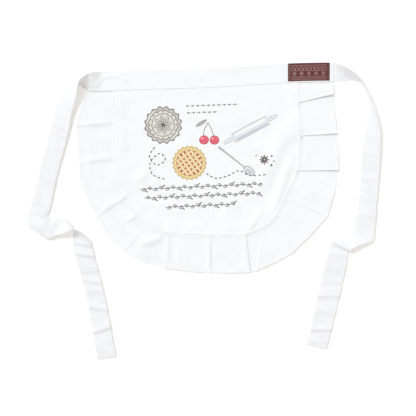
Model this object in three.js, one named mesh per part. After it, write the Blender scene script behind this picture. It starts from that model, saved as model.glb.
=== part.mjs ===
// A white cotton half apron, laid out flat: a front panel with a rounded lower edge, a knife-pleated ruffle
// sewn around it, a folded waistband over its top edge, a woven label on the waistband and two long ties.
// It lies on z = 0 with its face up. The origin is the middle of the waistband's back face; +X runs along the
// waistband towards the label, +Y away from the skirt and +Z up out of the cloth.
import * as THREE from "three";

// Driving sizes, in millimetres
const clothWall = 1; // one layer of the skirt's cotton
const tieWall = 2; // a tie is two layers, turned and pressed
const labelWall = 0.8;
const layerGap = 0.3; // between layers and pieces that lie on or against each other
const bandLength = 462;
const bandWidth = 37;
const cornerTurn = 22; // degrees that the left tie's twist tips up the waistband's end
const cornerRun = 26; // how far in from the end the waistband starts to tip
const bandLap = 7; // how far the panel runs up inside the folded waistband
const panelWidth = 354;
const panelDepth = 282;
const ruffleWidth = 70;
const seamLap = 6; // how far the ruffle's heading runs under the panel's edge
const seamSlope = 24; // how far in from the seam the panel comes down to the table
const bandSlope = 14; // the same, down from the waistband
const hemLift = 7; // how high the loosest pleat stands at the hem
const wrinkleRise = 3.2; // the highest soft wrinkle
const tieWidth = 35;
const tieStand = 0.7; // how high a tie on its edge stands, as a share of its width: the cloth sags
const tieSwing = 100; // the sideways unit of the ties' course
const tieDrop = 525; // from a tie's start down to its end
const labelLength = 79;
const labelHeight = 34;
const labelInset = 7; // from the waistband's end to the label
const labelRise = 1; // how far the label sits above the waistband's middle

// Numbers of steps
const turnSteps = 3; // in half a turn of cloth
const bandSteps = 24;
const panelColumns = 24;
const panelRows = 20;
const tieStepsPerRow = 2;
const tieColumns = 3;
const labelSteps = 6;
const openStep = 0.45; // between stations of open ruffle, as a share of the way to the next fold line
const seamSamples = 120; // points along the seam that the panel's height is measured from
const panelCrowding = 1.35; // over 1, the panel's rows lie closer near the waistband, where it climbs

const degrees = Math.PI / 180;
const mix = THREE.MathUtils.lerp;
const smooth = (x, from, to) => THREE.MathUtils.smoothstep(x, from, to);
const vector = (x, y, z = 0) => new THREE.Vector3(x, y, z);

const table = (columns, rows) =>
  rows.map((row) => Object.fromEntries(columns.map((name, i) => [name, row[i]])));

// Runs a smooth curve through one column of a table; t counts rows from 0.
function along(rows, column, t) {
  const at = (i) => rows[THREE.MathUtils.clamp(i, 0, rows.length - 1)][column];
  const i = Math.min(Math.floor(t), rows.length - 2);
  const f = t - i;
  const pull = (a, b, c, d) =>
    b + 0.5 * f * (c - a + f * (2 * a - 5 * b + 4 * c - d + f * (3 * (b - c) + d - a)));
  return pull(at(i - 1), at(i), at(i + 1), at(i + 2));
}

// The waistband's middle line: across is a share of half its length, rise a share of its width.
const bandLine = table(
  ["across", "rise"],
  [
    [-1, -0.21],
    [-0.5, -0.1],
    [0, 0],
    [0.33, 0.13],
    [0.66, 0.25],
    [1, 0.29],
  ],
);

// The skirt's fold lines, from the left end of the waistband round to the right. seamX is a share of half
// the panel's width and seamY of its depth, down from the waistband's lower edge. The line leaves the seam
// toward an angle in degrees and reaches a share of the ruffle's width. lap is 1 where the cloth before the
// line lies on top, -1 where the cloth after it does and 0 where there is no pleat. curl is the pleat's
// share of the lift at the hem.
const foldLines = table(
  ["seamX", "seamY", "toward", "reach", "lap", "curl"],
  [
    [-1.04, 0, 184, 0.75, 0, 0],
    [-1.04, 0.08, 188, 0.88, 0, 0],
    [-1.04, 0.17, 186, 1.01, 0, 0],
    [-1.04, 0.24, 185, 1.04, 1, 0.5],
    [-1.04, 0.36, 186, 1.02, 0, 0],
    [-1.03, 0.48, 189, 1, 1, 0.3],
    [-1.02, 0.6, 187, 1, 0, 0],
    [-0.97, 0.665, 195, 1, 0, 0],
    [-0.91, 0.735, 215, 0.99, 1, 0.35],
    [-0.81, 0.86, 217, 0.95, 0, 0],
    [-0.69, 0.93, 228, 0.94, 1, 0.4],
    [-0.6, 0.965, 247, 0.91, 0, 0],
    [-0.48, 0.985, 266, 0.93, -1, 0.4],
    [-0.25, 0.995, 268, 0.98, 0, 0],
    [-0.01, 1, 270, 1, 1, 0.15],
    [0.18, 1, 272, 1.01, 0, 0],
    [0.37, 0.995, 276, 1.01, 1, 0.35],
    [0.57, 0.945, 259, 1.19, -1, 0.3],
    [0.64, 0.91, 274, 1.1, 0, 0],
    [0.7, 0.87, 291, 1.08, -1, 0.4],
    [0.74, 0.825, 318, 1.06, 0, 0],
    [0.79, 0.755, 338, 1.23, -1, 0.4],
    [0.86, 0.665, 352, 1.18, 0, 0],
    [0.93, 0.56, 361, 1.1, -1, 0.4],
    [0.95, 0.445, 363, 1.04, 0, 0],
    [0.96, 0.325, 364, 0.98, -1, 0.4],
    [0.95, 0.21, 368, 0.95, 0, 0],
    [0.94, 0.1, 374, 0.96, -1, 0.8],
    [0.93, -0.03, 362, 0.94, 0, 0],
  ],
);
const pleatRun = 0.3; // how far a pleat folds back, as a share of the way to the next line
const pleatStart = 1.25 * pleatRun; // the top layer lies flat from here to its fold line
const pleatMiddle = 0.5 * pleatRun; // the lowest layer, under the middle of the pleat
const pleatEnd = 0.25 * pleatRun; // the lowest layer, just clear of the pleat
const openCrown = 0.35; // how far open ruffle bellies up between pleats, in layers
const bottomLines = [12, 16.5]; // the panel's lower edge runs between these lines

// Soft ridges in the skirt: ends as shares of half the panel's width and of its depth, spread and rise as
// shares of the ruffle's width and of the highest wrinkle.
const wrinkles = table(
  ["x", "y", "toX", "toY", "spread", "rise"],
  [
    [0.88, 0.2, 0.5, 0.69, 0.24, 1],
    [0.85, 0.47, 0.65, 0.84, 0.13, 0.8],
    [0.54, 0.82, 0.39, 0.96, 0.09, 0.7],
    [-0.63, 0.53, -0.8, 0.64, 0.12, 0.7],
    [-0.77, 1.06, -0.52, 1.01, 0.09, 0.9],
    [-1.22, 0.46, -1.09, 0.43, 0.08, 0.5],
    [-0.91, 0.9, -0.8, 0.86, 0.06, 0.5],
  ],
);

// A tie's course, measured from its end of the waistband: x and y of its middle as shares of the swing and
// the drop, heading in degrees from +X, roll in degrees that lifts its right-hand edge, and spread, which
// is over 1 where the cloth is pulled square round a corner.
const tieColumnNames = ["x", "y", "heading", "roll", "spread"];
const leftCourse = table(tieColumnNames, [
  [0, -0.003, 180, 22, 1],
  [-0.02, -0.003, 179, 26, 1],
  [-0.07, -0.003, 176, 42, 1],
  [-0.14, -0.005, 184, 66, 1],
  [-0.21, -0.008, 208, 95, 1],
  [-0.28, -0.018, 232, 118, 1],
  [-0.35, -0.041, 240, 138, 1],
  [-0.42, -0.069, 248, 151, 1],
  [-0.49, -0.106, 255, 158, 1],
  [-0.54, -0.151, 257, 164, 1],
  [-0.6, -0.199, 255, 168, 1],
  [-0.77, -0.317, 253, 170, 1],
  [-0.9, -0.429, 256, 172, 1.02],
  [-0.99, -0.496, 284, 182, 1.18],
  [-0.93, -0.513, 308, 188, 1.12],
  [-0.85, -0.524, 330, 192, 1.12],
  [-0.75, -0.53, 349, 198, 1.15],
  [-0.62, -0.525, 353, 210, 1.02],
  [-0.48, -0.524, 351, 232, 1],
  [-0.37, -0.528, 339, 255, 1],
  [-0.29, -0.537, 312, 282, 1],
  [-0.23, -0.549, 295, 312, 1],
  [-0.18, -0.566, 287, 338, 1],
  [-0.13, -0.604, 283, 352, 1],
  [-0.06, -0.653, 284, 358, 1],
  [0.12, -0.788, 285, 356, 1],
  [0.32, -1, 281, 354, 1.02],
]);
const rightCourse = table(tieColumnNames, [
  [0, 0, 0, 0, 1],
  [0.03, -0.001, -1, -5, 1],
  [0.16, -0.006, -6, -36, 1],
  [0.31, -0.014, -12, -60, 1],
  [0.43, -0.024, -22, -77, 1],
  [0.54, -0.042, -42, -87, 1],
  [0.62, -0.067, -62, -88, 1],
  [0.68, -0.1, -72, -87, 1],
  [0.71, -0.133, -80, -76, 1],
  [0.72, -0.171, -87, -56, 1],
  [0.73, -0.212, -91, -39, 1],
  [0.72, -0.28, -93, -22, 1],
  [0.69, -0.376, -95, -14, 1],
  [0.64, -0.489, -97, -12, 1.01],
  [0.6, -0.553, -108, -10, 1.12],
  [0.57, -0.585, -124, -14, 1.26],
  [0.48, -0.598, -129, -22, 1.06],
  [0.4, -0.606, -130, -33, 1],
  [0.29, -0.616, -130, -36, 1],
  [0.19, -0.625, -127, -24, 1],
  [0.13, -0.633, -116, -5, 1.02],
  [0.1, -0.65, -102, 0, 1.04],
  [0.04, -0.7, -99, -4, 1.14],
  [-0.12, -0.832, -101, -5, 1.14],
  [-0.32, -0.995, -102, -5, 1.07],
]);

// One layer of cloth as a closed solid. middle(i, j) is the cloth's middle surface; each of its points is
// set off by half the wall to both sides, square to the cloth.
function clothSolid(name, columns, rows, wall, middle, material) {
  const grid = Array.from({ length: columns + 1 }, (_, i) =>
    Array.from({ length: rows + 1 }, (_, j) => middle(i, j)),
  );
  const at = (i, j) =>
    grid[THREE.MathUtils.clamp(i, 0, columns)][THREE.MathUtils.clamp(j, 0, rows)];
  const points = [];
  const place = (i, j, side) => side * (columns + 1) * (rows + 1) + i * (rows + 1) + j;
  for (const side of [0, 1]) {
    for (let i = 0; i <= columns; i++) {
      for (let j = 0; j <= rows; j++) {
        const lengthwise = at(i + 1, j).clone().sub(at(i - 1, j));
        const crosswise = at(i, j + 1).clone().sub(at(i, j - 1));
        const normal = lengthwise.cross(crosswise).normalize();
        const point = at(i, j).clone().addScaledVector(normal, (side - 0.5) * wall);
        points.push(point.x, point.y, point.z);
      }
    }
  }
  const faces = [];
  const quad = (a, b, c, d) => faces.push(a, b, c, a, c, d);
  for (let i = 0; i < columns; i++) {
    for (let j = 0; j < rows; j++) {
      const corners = [[i, j], [i + 1, j], [i + 1, j + 1], [i, j + 1]];
      quad(...corners.map(([a, b]) => place(a, b, 1)));
      quad(...corners.map(([a, b]) => place(a, b, 0)).reverse());
    }
  }
  const rim = (a, b) => quad(place(...a, 0), place(...b, 0), place(...b, 1), place(...a, 1));
  for (let i = 0; i < columns; i++) {
    rim([i, 0], [i + 1, 0]);
    rim([i + 1, rows], [i, rows]);
  }
  for (let j = 0; j < rows; j++) {
    rim([0, j + 1], [0, j]);
    rim([columns, j], [columns, j + 1]);
  }
  const geometry = new THREE.BufferGeometry();
  geometry.setAttribute("position", new THREE.Float32BufferAttribute(points, 3));
  geometry.setIndex(faces);
  geometry.computeVertexNormals();
  const mesh = new THREE.Mesh(geometry, material);
  mesh.name = name;
  return mesh;
}

// Heights of the layers, each the middle of its cloth
const restLevel = clothWall / 2;
const slotLevel = clothWall + layerGap + clothWall / 2; // the panel, inside the waistband
const bandFrontLevel = slotLevel + clothWall + layerGap; // the waistband's front layer
const pleatLevel = clothWall + layerGap; // from one layer of a pleat to the next
const seamLevel = 3 * pleatLevel + restLevel; // the panel, over three layers of ruffle
const labelLevel = bandFrontLevel + clothWall / 2 + layerGap + labelWall / 2;

function bandMiddle(x) {
  const share = THREE.MathUtils.clamp(x / (bandLength / 2), -1, 1);
  const next = bandLine.findIndex((row) => row.across >= share);
  const i = Math.max(next - 1, 0);
  const { across } = bandLine[i];
  const t = i + (share - across) / (bandLine[i + 1].across - across);
  return along(bandLine, "rise", t) * bandWidth;
}
const bandEdge = (x) => bandMiddle(x) - bandWidth / 2;

const skirtPoint = (x, y) => vector((x * panelWidth) / 2, -bandWidth / 2 - y * panelDepth);
// Nothing of the skirt's outer cloth reaches past the waistband's lower edge.
const underBand = (point) => point.setY(Math.min(point.y, bandEdge(point.x) - layerGap));

function foldLine(t) {
  const seam = skirtPoint(along(foldLines, "seamX", t), along(foldLines, "seamY", t));
  const i = Math.min(Math.floor(t), foldLines.length - 2);
  const ends = [foldLines[i], foldLines[i + 1]].map(({ seamX, seamY, toward, reach }) => {
    const angle = toward * degrees;
    const line = vector(Math.cos(angle), Math.sin(angle)).multiplyScalar(reach * ruffleWidth);
    return skirtPoint(seamX, seamY).add(line);
  });
  const hem = ends[0].lerp(ends[1], t - i);
  return { seam: underBand(seam), hem: underBand(hem) };
}

function wrinkleHeight(point) {
  let height = 0;
  for (const { x, y, toX, toY, spread, rise } of wrinkles) {
    const line = new THREE.Line3(skirtPoint(x, y), skirtPoint(toX, toY));
    const share = line.closestPointToPointParameter(point, false);
    const nearest = line.closestPointToPoint(point, true, vector(0, 0));
    const away = nearest.distanceTo(vector(point.x, point.y)) / (spread * ruffleWidth);
    const fade = smooth(share, -0.15, 0.3) * smooth(1 - share, -0.15, 0.3);
    height += rise * wrinkleRise * fade * Math.exp(-away * away);
  }
  return height * smooth(bandEdge(point.x) - point.y, 0, bandSlope);
}

// The ruffle's stations along its strip: t counts fold lines, level counts layers up from the table, and
// bulge is how far a turn stands out past its line, as a share of the turn's radius.
function ruffleStations() {
  const stations = [];
  const turn = (t, bottom, side, upwards, curl) => {
    for (let k = 0; k <= turnSteps; k++) {
      const angle = (Math.PI * (upwards ? turnSteps - k : k)) / turnSteps;
      const level = bottom + 0.5 + 0.5 * Math.cos(angle);
      stations.push({ t, level, bulge: side * Math.sin(angle), curl });
    }
  };
  const flat = (t, level, curl) => stations.push({ t, level, bulge: 0, curl });
  const open = (to, level, curl) => {
    const from = stations.at(-1);
    const steps = Math.max(1, Math.round((to - from.t) / openStep));
    for (let k = 1; k < steps; k++) {
      const share = k / steps;
      const crown = level + from.level ? 0 : openCrown * Math.sin(Math.PI * share);
      const shownCurl = level ? mix(from.level ? from.curl : curl, curl, share) : from.curl;
      flat(mix(from.t, to, share), mix(from.level, level, smooth(share, 0, 1)) + crown, shownCurl);
    }
  };
  flat(0, 0, 0);
  foldLines.forEach(({ lap, curl }, line) => {
    if (lap > 0) {
      open(line - pleatStart, 2, curl);
      flat(line - pleatStart, 2, curl);
      turn(line, 1, 1, false, curl);
      turn(line - pleatRun, 0, -1, false, curl);
      flat(line - pleatMiddle, 0, curl);
      flat(line + pleatEnd, 0, curl);
    } else if (lap < 0) {
      open(line - pleatEnd, 0, curl);
      flat(line - pleatEnd, 0, curl);
      flat(line + pleatMiddle, 0, curl);
      turn(line + pleatRun, 0, 1, true, curl);
      turn(line, 1, -1, true, curl);
      flat(line + pleatStart, 2, curl);
    }
  });
  const last = foldLines.length - 1;
  open(last, 0, 0);
  flat(last, 0, 0);
  return stations;
}

function rufflePoint({ t, level, bulge, curl }, out) {
  const line = (at) => {
    const { seam, hem } = foldLine(THREE.MathUtils.clamp(at, 0, foldLines.length - 1));
    const heading = seam.clone().sub(hem).setLength(seamLap).add(seam);
    return underBand(heading).lerp(hem, out);
  };
  const step = 0.02;
  const forward = line(t + step).sub(line(t - step)).normalize();
  const rise = pleatLevel + 0.5 * curl * hemLift * out * out;
  const point = line(t).addScaledVector(forward, 0.5 * bulge * rise);
  point.z = restLevel + level * rise + wrinkleHeight(point);
  return point;
}

function ruffle(material) {
  const stations = ruffleStations();
  const outward = [0, 0.13, 0.36, 0.62, 0.85, 1];
  return clothSolid(
    "ruffle",
    stations.length - 1,
    outward.length - 1,
    clothWall,
    (i, j) => rufflePoint(stations[i], outward[j]),
    material,
  );
}

// The panel fills the space between the waistband and the seam, and rides up over the ruffle's heading.
function frontPanel(material) {
  const lastLine = foldLines.length - 1;
  const seamPoints = Array.from({ length: seamSamples + 1 }, (_, k) => {
    return foldLine((lastLine * k) / seamSamples).seam;
  });
  const seamDistance = (point) => Math.min(...seamPoints.map((p) => p.distanceTo(point)));
  const inBand = (x) => vector(x, bandEdge(x) + bandLap);
  const rowShare = (j) => (j / panelRows) ** panelCrowding;
  const side = (v, from, to) => {
    const start = foldLine(from).seam;
    const shown = rowShare(1); // the first row lies inside the waistband
    return v < shown
      ? inBand(start.x).lerp(start, v / shown)
      : foldLine(mix(from, to, (v - shown) / (1 - shown))).seam;
  };
  const left = (v) => side(v, 0, bottomLines[0]);
  const right = (v) => side(v, lastLine, bottomLines[1]);
  const top = (u) => inBand(mix(left(0).x, right(0).x, u));
  const bottom = (u) => foldLine(mix(bottomLines[0], bottomLines[1], u)).seam;
  const corner = (u, v) => (v ? bottom(u) : top(u));
  const spot = (u, v) => {
    const point = top(u).multiplyScalar(1 - v).addScaledVector(bottom(u), v);
    point.addScaledVector(left(v), 1 - u).addScaledVector(right(v), u);
    point.addScaledVector(corner(0, 0), -(1 - u) * (1 - v)).addScaledVector(corner(1, 0), -u * (1 - v));
    return point.addScaledVector(corner(0, 1), -(1 - u) * v).addScaledVector(corner(1, 1), -u * v);
  };
  return clothSolid(
    "front_panel",
    panelColumns,
    panelRows,
    clothWall,
    (i, j) => {
      const point = spot(i / panelColumns, rowShare(j));
      const flat = smooth(seamDistance(point), 1.5 * seamLap, 1.5 * seamLap + seamSlope);
      const below = smooth(bandEdge(point.x) - point.y, 0, bandSlope);
      point.z = mix(slotLevel, mix(seamLevel, restLevel, flat), below) + wrinkleHeight(point);
      return point;
    },
    material,
  );
}

// The waistband is one strip folded over along its upper edge, with the skirt between its two layers.
function waistband(material) {
  const radius = (bandFrontLevel - restLevel) / 2;
  const fold = bandWidth / 2 - radius;
  const section = [-bandWidth / 2, 0, fold].map((y) => ({ y, z: restLevel }));
  for (let k = 1; k < turnSteps; k++) {
    const angle = (Math.PI * k) / turnSteps;
    const z = restLevel + radius - radius * Math.cos(angle);
    section.push({ y: fold + radius * Math.sin(angle), z });
  }
  section.push(...[fold, 0, -bandWidth / 2].map((y) => ({ y, z: bandFrontLevel })));
  return clothSolid(
    "waistband",
    bandSteps,
    section.length - 1,
    clothWall,
    (i, j) => {
      const x = (i / bandSteps - 0.5) * bandLength;
      const turned = cornerTurn * degrees * smooth(-x, bandLength / 2 - cornerRun, bandLength / 2);
      const up = section[j].y + bandWidth / 2;
      const clear = clothWall * Math.sin(turned); // keeps the tipped edge off the ruffle
      const y = bandEdge(x) + clear + up * Math.cos(turned);
      return vector(x, y, section[j].z + up * Math.sin(turned));
    },
    material,
  );
}

function wovenLabel(material) {
  const end = bandLength / 2 - labelInset;
  return clothSolid(
    "woven_label",
    labelSteps,
    1,
    labelWall,
    (i, j) => {
      const x = end - labelLength * (1 - i / labelSteps);
      return vector(x, bandMiddle(x) + labelRise + (j - 0.5) * labelHeight, labelLevel);
    },
    material,
  );
}

// A tie rests on whichever of its edges is lower.
function tie(name, course, end, material) {
  const start = vector(end * (bandLength / 2 + layerGap), bandMiddle((end * bandLength) / 2));
  const steps = (course.length - 1) * tieStepsPerRow;
  return clothSolid(
    name,
    steps,
    tieColumns,
    tieWall,
    (i, j) => {
      const t = i / tieStepsPerRow;
      const [x, y, heading, roll, spread] = tieColumnNames.map((column) => along(course, column, t));
      const half = tieWidth / 2;
      const out = (2 * j) / tieColumns - 1; // -1 at the left-hand edge, 1 at the right-hand edge
      const turned = roll * degrees;
      const aside = (heading - 90) * degrees;
      const across = vector(Math.cos(aside), Math.sin(aside)).multiplyScalar(
        Math.cos(turned) * spread * half * out,
      );
      const lift = tieStand * half * (Math.abs(Math.sin(turned)) + Math.sin(turned) * out);
      const rest = (tieWall / 2) * Math.max(Math.abs(Math.cos(turned)), 0.3);
      return start.clone().add(across).add(vector(x * tieSwing, y * tieDrop, lift + rest));
    },
    material,
  );
}

const cotton = (color) => new THREE.MeshStandardMaterial({ color, roughness: 0.9, metalness: 0 });

const apron = new THREE.Group();
apron.add(
  frontPanel(cotton("#f7f8fa")),
  ruffle(cotton("#f5f6f8")),
  waistband(cotton("#f6f7f9")),
  tie("tie_left", leftCourse, -1, cotton("#f4f5f7")),
  tie("tie_right", rightCourse, 1, cotton("#f4f5f7")),
  wovenLabel(cotton("#6a1b1d")),
);

export default apron;
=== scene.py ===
"""A white cotton half apron, laid out flat with its face up on a pale table and seen from straight above.

The skirt's sizes, fold lines and tie courses repeat those of the solid part. Here they carry finer cloth,
with hems, seams, stitches, creases, a printed baking picture and a label with a woven ornament.
"""
import math

import bpy
from mathutils import Euler, Matrix, Vector, kdtree, noise


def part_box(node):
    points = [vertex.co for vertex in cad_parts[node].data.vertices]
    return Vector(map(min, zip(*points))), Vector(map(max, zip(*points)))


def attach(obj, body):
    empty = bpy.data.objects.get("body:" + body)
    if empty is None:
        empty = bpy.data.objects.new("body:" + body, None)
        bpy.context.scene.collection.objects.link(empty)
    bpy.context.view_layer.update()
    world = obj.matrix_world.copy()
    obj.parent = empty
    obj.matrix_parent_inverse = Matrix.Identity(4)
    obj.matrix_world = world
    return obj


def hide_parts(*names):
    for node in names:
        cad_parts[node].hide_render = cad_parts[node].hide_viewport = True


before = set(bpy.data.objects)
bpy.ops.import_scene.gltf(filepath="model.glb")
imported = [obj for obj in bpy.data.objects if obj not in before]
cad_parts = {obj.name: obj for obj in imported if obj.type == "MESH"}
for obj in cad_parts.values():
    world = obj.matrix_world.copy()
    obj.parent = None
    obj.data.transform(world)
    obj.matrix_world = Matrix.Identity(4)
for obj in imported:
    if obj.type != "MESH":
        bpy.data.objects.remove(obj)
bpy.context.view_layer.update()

MM = 0.001
DEGREES = math.pi / 180

# Sizes of the apron; lengths that the solid part gives are read from it
band_low, band_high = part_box("waistband")
panel_low, panel_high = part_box("front_panel")
label_low, label_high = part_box("woven_label")
BAND_LENGTH = band_high.x - band_low.x
BAND_WIDTH = 37 * MM
CORNER_TURN = 22  # degrees that the left tie's twist tips up the waistband's end
CORNER_RUN = 26 * MM  # how far in from the end the waistband starts to tip
BAND_LAP = 7 * MM  # how far the panel runs up inside the folded waistband
PANEL_WIDTH = panel_high.x - panel_low.x
PANEL_DEPTH = 282 * MM
RUFFLE_WIDTH = 70 * MM
SEAM_LAP = 6 * MM  # how far the ruffle's heading runs under the panel's edge
SEAM_RIDGE = 0.65 * MM  # how far the ruffle bulges up beside the seam
SEAM_SLOPE = 24 * MM  # how far in from the seam the panel comes down to the table
BAND_SLOPE = 14 * MM  # how far below the waistband it does so
HEM_LIFT = 5 * MM  # how high a pleat with a curl of 1 stands at the hem
WRINKLE_RISE = 3.8 * MM
TIE_WIDTH = 35 * MM
TIE_STAND = 0.7  # how high a tie on its edge stands, as a share of its width: the cloth sags
TIE_SWING = 100 * MM
TIE_DROP = 525 * MM
TIE_INSERT = 6 * MM  # how much of a tie is sewn in between the waistband's layers
LABEL_LENGTH = label_high.x - label_low.x
LABEL_HEIGHT = 34 * MM

# Walls are drawn as thin as they can be and still show their edges; the real cotton is 0.4 mm
CLOTH = 0.5 * MM
FOLDED_HEM = 0.85 * MM  # three layers pressed together
TIE_WALL = 1.4 * MM
LABEL_WALL = 0.6 * MM
HEM_WIDTH = 5 * MM

# Stitches, and how far in from the edge each piece's rows of them run
STITCH_PITCH = 3 * MM
STITCH_FILL = 0.78  # how much of its pitch a stitch takes up
THREAD = 0.42 * MM
SEAM_ROWS = (1.4 * MM, 5.8 * MM)
BAND_INSET = 1.9 * MM
TIE_INSET = 2 * MM
LABEL_INSET = 1.2 * MM

# Heights of the layers, each the middle of its cloth
LAYER = 0.85 * MM  # from one layer of a pleat to the next
LIP = 1.3 * MM  # how far a pleat's top layer lifts at its fold
REST = 0.42 * MM
SLOT = REST + LAYER  # the panel, inside the waistband
BAND_FRONT = SLOT + LAYER
LABEL = BAND_FRONT + CLOTH / 2 + LABEL_WALL / 2 + 0.1 * MM

# The ruffle's pleats; a run is a share of the way from one fold line to the next
TURN_STEPS = 8  # in half a turn of cloth
TOP_STEPS, MIDDLE_STEPS, BOTTOM_STEPS = 10, 6, 22  # in the layers of a pleat
OPEN_RUN = 0.045  # one step of open ruffle
PLEAT_RUN = 0.3  # how far a pleat folds back
PLEAT_START = 1.25 * PLEAT_RUN  # how far back from its fold line a pleat's top layer begins
PLEAT_END = 0.25 * PLEAT_RUN  # how far beyond that line its bottom layer belongs to it
LIP_RUN = 0.17  # how far back from a pleat's fold its top layer starts to lift
OPEN_CROWN = 0.35  # how far open ruffle bellies up between pleats, in layers
SWELL = 1.7  # how far the open cloth beside a softly pressed fold swells up against it, in layers
SWELL_RUNS = (0.002, 0.024)  # how far from that fold the swell starts and is full

PANEL_OVER = 0.78  # how far the panel's edge lies over the ruffle's top layer, in layers
PANEL_CROWDING = 1.35  # how much closer the panel's rows lie near the waistband
BOTTOM_LINES = (12, 16.5)  # the panel's lower edge runs between these fold lines


def table(columns, *rows):
    """Rows of numbers, each under the name of its column."""
    return [dict(zip(columns.split(), row)) for row in rows]


# The waistband's middle line: across is a share of half its length, rise a share of its width.
BAND_LINE = table(
    "across rise",
    (-1, -0.21), (-0.5, -0.1), (0, 0), (0.33, 0.13), (0.66, 0.25), (1, 0.29),
)

# Fold lines from the left end of the waistband round to the right: seam_x is a share of half the panel's
# width, seam_y of its depth. A line leaves the seam toward an angle and reaches a share of the ruffle's
# width. lap is 1 where the cloth before the line lies on top, -1 where the cloth after it does and 0 where
# nothing is folded. curl is the share of HEM_LIFT that the pleat stands up at the hem, and crisp the share
# of the full spacing that its layers keep.
FOLD_LINES = table(
    "seam_x seam_y toward reach lap curl crisp",
    (-1.04, 0, 184, 0.75, 0, 0, 1),
    (-1.04, 0.08, 188, 0.88, 0, 0, 1),
    (-1.04, 0.17, 186, 1.01, 0, 0, 1),
    (-1.04, 0.24, 185, 1.04, 1, 0.5, 0.6),
    (-1.04, 0.36, 186, 1.02, 0, 0, 0.6),
    (-1.03, 0.48, 189, 1, 1, 0.3, 0.6),
    (-1.02, 0.6, 187, 1, 0, 0, 0.6),
    (-0.97, 0.665, 195, 1, 0, 0, 0.6),
    (-0.91, 0.735, 215, 0.99, 1, 0.35, 0.6),
    (-0.81, 0.86, 217, 0.95, 0, 0, 0.6),
    (-0.69, 0.93, 228, 0.94, 1, 0.4, 0.6),
    (-0.6, 0.965, 247, 0.91, 0, 0, 0.8),
    (-0.48, 0.985, 266, 0.93, -1, 0.4, 1),
    (-0.25, 0.995, 268, 0.98, 0, 0, 0.8),
    (-0.01, 1, 270, 1, 1, 0.15, 0.65),
    (0.18, 1, 272, 1.01, 0, 0, 0.75),
    (0.37, 0.995, 276, 1.01, 1, 0.35, 0.85),
    (0.57, 0.945, 259, 1.19, -1, 0.3, 0.8),
    (0.64, 0.91, 274, 1.1, 0, 0, 0.78),
    (0.7, 0.87, 291, 1.08, -1, 0.4, 0.75),
    (0.74, 0.825, 318, 1.06, 0, 0, 0.7),
    (0.79, 0.755, 338, 1.23, -1, 0.4, 0.65),
    (0.86, 0.665, 352, 1.18, 0, 0, 0.85),
    (0.93, 0.56, 361, 1.1, -1, 0.4, 1),
    (0.95, 0.445, 363, 1.04, 0, 0, 1),
    (0.96, 0.325, 364, 0.98, -1, 0.4, 1),
    (0.95, 0.21, 368, 0.95, 0, 0, 1),
    (0.94, 0.1, 374, 0.96, -1, 0.8, 1),
    (0.93, -0.03, 362, 0.94, 0, 0, 1),
)
LAST_LINE = len(FOLD_LINES) - 1

# Soft ridges in the skirt, ends as shares of half the panel's width and of its depth, spread and rise as
# shares of the ruffle's width and of the highest wrinkle. The first seven are in the solid part too, where
# the sixth is shorter.
WRINKLES = table(
    "x y to_x to_y spread rise",
    (0.88, 0.2, 0.5, 0.69, 0.24, 1),
    (0.85, 0.47, 0.65, 0.84, 0.13, 0.8),
    (0.54, 0.82, 0.39, 0.96, 0.09, 0.7),
    (-0.63, 0.53, -0.8, 0.64, 0.12, 0.7),
    (-0.77, 1.06, -0.52, 1.01, 0.09, 0.9),
    (-1.34, 0.49, -1.06, 0.47, 0.09, 0.55),
    (-0.91, 0.9, -0.8, 0.86, 0.06, 0.5),
    (-0.03, 0.97, -0.03, 1.27, 0.07, 0.42),
    (0.35, 0.98, 0.37, 1.26, 0.07, 0.4),
    (-0.47, 0.96, -0.46, 1.22, 0.06, 0.35),
    (-1.4, 0.25, -1.07, 0.235, 0.09, 0.6),
    (-1.2, 0.84, -0.9, 0.72, 0.08, 0.4),
    (-0.98, 0.78, -0.9, 0.7, 0.05, 0.2),
    (-0.62, 0.1, -0.5, 0.42, 0.1, 0.22),
    (0.12, 0.9, 0.22, 0.7, 0.1, 0.25),
    (0.62, 0.12, 0.52, 0.36, 0.12, 0.25),
    (1.1, 0.62, 1.3, 0.66, 0.07, 0.3),
    (0.98, 0.88, 1.08, 0.98, 0.08, 0.3),
    (-0.36, 1.08, -0.34, 1.2, 0.05, 0.25),
)

# A tie's course, measured from its end of the waistband: x and y of its middle as shares of the swing and
# the drop, heading in degrees, roll in degrees that lifts its right-hand edge, spread, which is over 1
# where the cloth is pulled square round a corner, and arch, how far its middle bulges up in mm.
LEFT_COURSE = table(
    "x y heading roll spread arch",
    (0, -0.003, 180, 22, 1, 0),
    (-0.02, -0.003, 179, 26, 1, 0),
    (-0.07, -0.003, 176, 42, 1, 0),
    (-0.14, -0.005, 184, 66, 1, 0),
    (-0.21, -0.008, 208, 95, 1, 0),
    (-0.28, -0.018, 232, 118, 1, 0),
    (-0.35, -0.041, 240, 138, 1, 0),
    (-0.42, -0.069, 248, 151, 1, 0),
    (-0.49, -0.106, 255, 158, 1, 0),
    (-0.54, -0.151, 257, 164, 1, 0),
    (-0.6, -0.199, 255, 168, 1, 0),
    (-0.77, -0.317, 253, 170, 1, 0),
    (-0.9, -0.429, 256, 172, 1.02, 0),
    (-0.99, -0.496, 289, 182, 1.24, 4),
    (-0.93, -0.513, 308, 188, 1.08, 6),
    (-0.85, -0.524, 331, 192, 1.06, 6),
    (-0.75, -0.53, 349, 198, 1.15, 4),
    (-0.62, -0.525, 353, 205, 1.04, 0),
    (-0.48, -0.524, 351, 220, 1.02, 0),
    (-0.37, -0.528, 339, 247, 1, 0),
    (-0.29, -0.537, 312, 277, 1, -2),
    (-0.23, -0.549, 295, 300, 1, -5),
    (-0.18, -0.566, 287, 322, 1, -5),
    (-0.13, -0.604, 283, 352, 1, -1),
    (-0.06, -0.653, 284, 358, 1, 0),
    (0.12, -0.788, 285, 356, 1, 0),
    (0.32, -1, 281, 354, 1.02, 0),
)
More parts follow.
